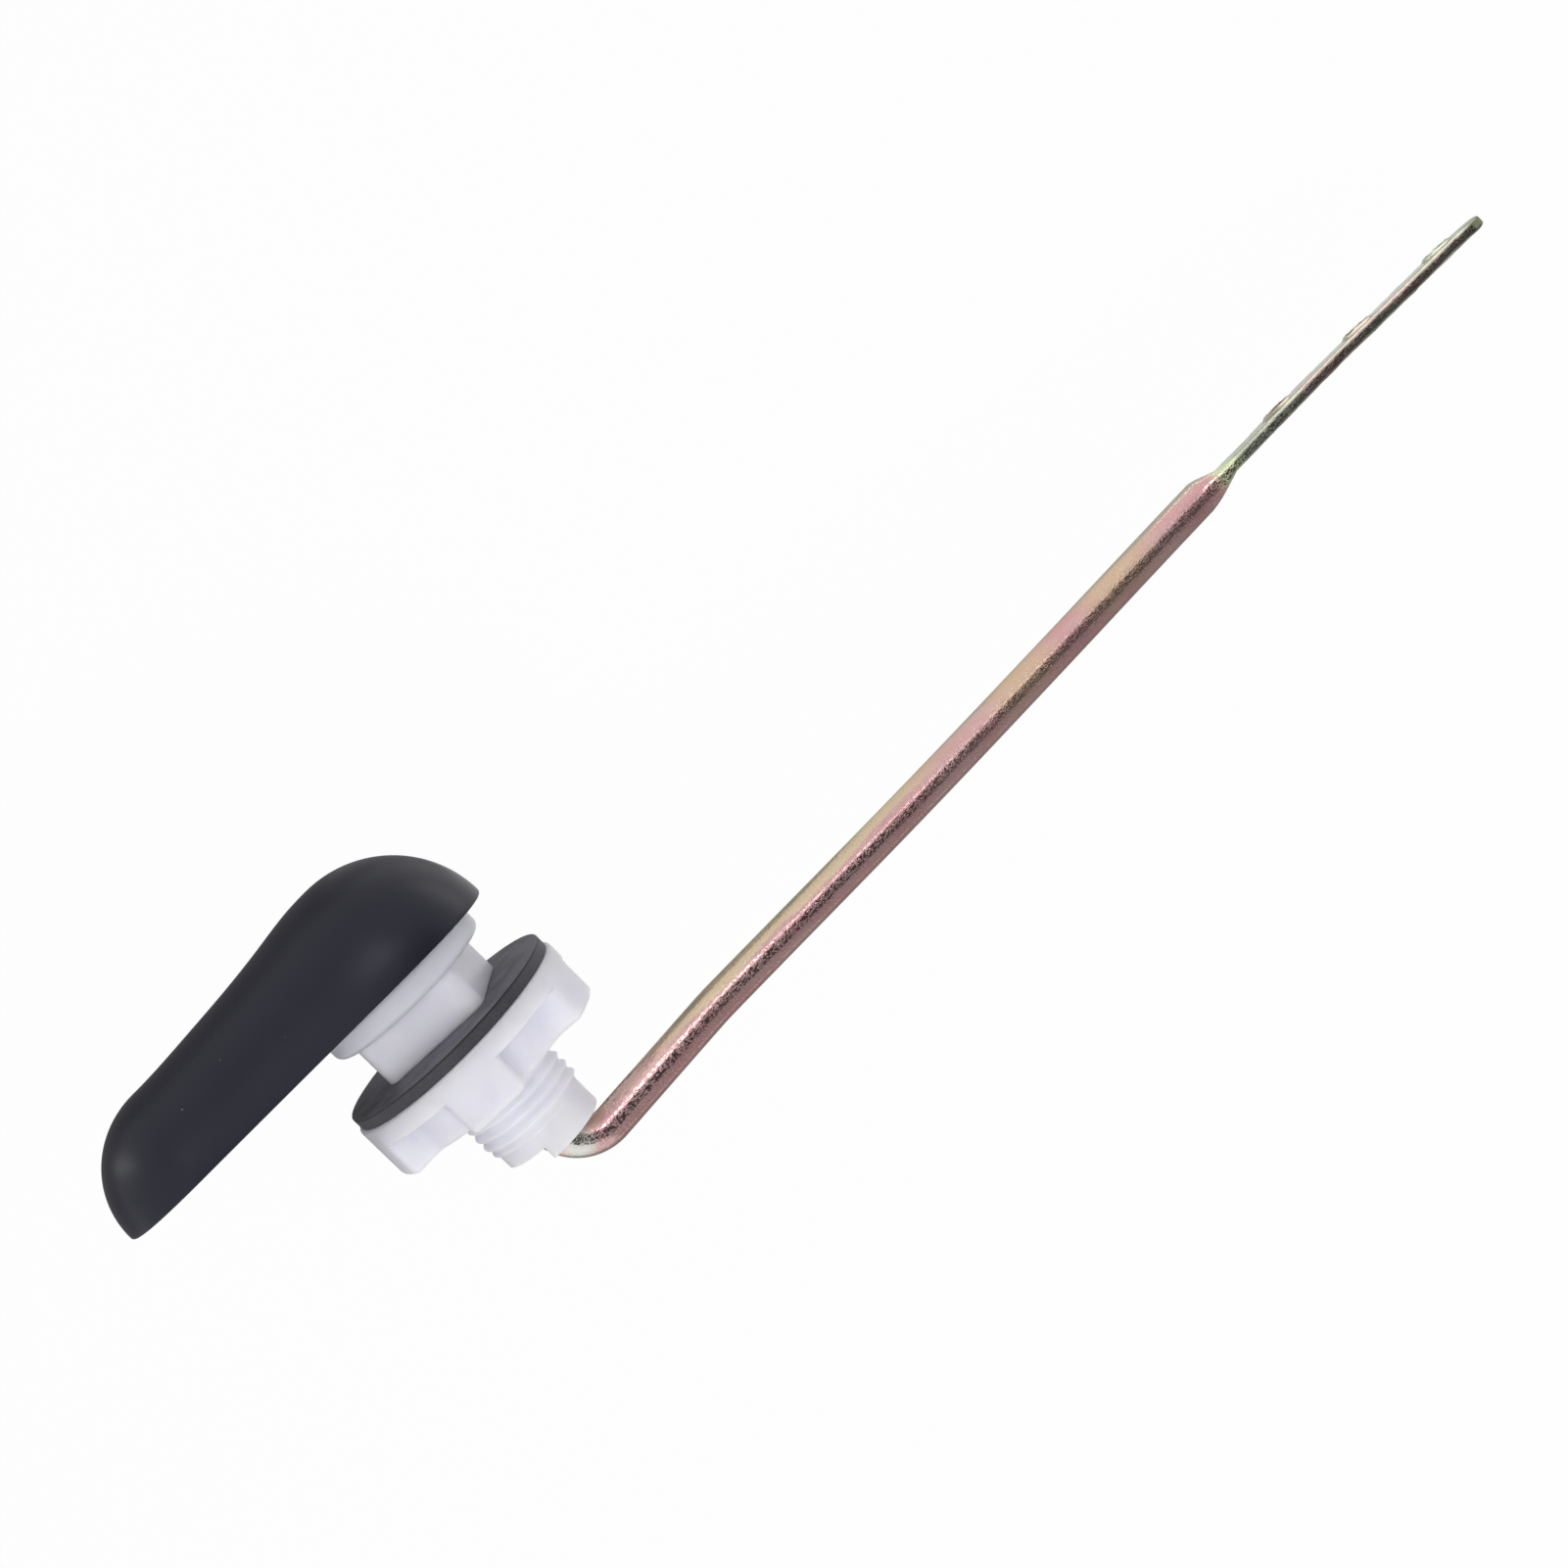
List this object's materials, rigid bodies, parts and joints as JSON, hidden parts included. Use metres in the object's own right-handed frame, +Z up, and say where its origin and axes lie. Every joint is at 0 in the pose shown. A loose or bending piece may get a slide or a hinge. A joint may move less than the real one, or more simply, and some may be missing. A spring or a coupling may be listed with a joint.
{
  "type": "cistern lever",
  "caption": "Front-mounted cistern flush lever: dome-headed black handle, square-necked threaded bushing with rubber washer and lobed nut, bent plated rod with a drilled flat tip.",
  "frame": {"origin": "on the pivot axis, in the plane of the bushing flange's wall-side face", "axes": "+Y along the pivot axis into the cistern, +Z up when fitted, +X towards the handle's tip side"},
  "size_m": [0.254, 0.0605, 0.0958],
  "materials": {
    "handle_plastic": "satin black plastic",
    "white_plastic": "milky white moulded plastic",
    "washer_rubber": "plain dark grey rubber",
    "plated_steel": "yellow zinc plate with pink and green tints"
  },
  "bodies": {
    "bushing": {"bushing": "white_plastic"},
    "lever": {"handle": "handle_plastic", "lever_rod": "plated_steel"},
    "washer": {"rubber_washer": "washer_rubber"},
    "nut": {"lock_nut": "white_plastic"}
  },
  "joints": [
    {"name": "lever_turn", "type": "hinge", "parent": "bushing", "child": "lever", "pos_m": [0, 0, 0], "axis": [0, 1, 0], "range_deg": [0, 40]},
    {"name": "washer_slide", "type": "slide", "parent": "bushing", "child": "washer", "axis": [0, 1, 0], "range_m": [0, 0.006]},
    {"name": "nut_turn", "type": "hinge", "parent": "washer", "child": "nut", "pos_m": [0, 0, 0], "axis": [0, 1, 0], "range_deg": [-1205, 0]}
  ],
  "couplings": [
    {"joint": "nut_turn", "follows": "washer_slide", "rad_per_m": -3490.7}
  ]
}
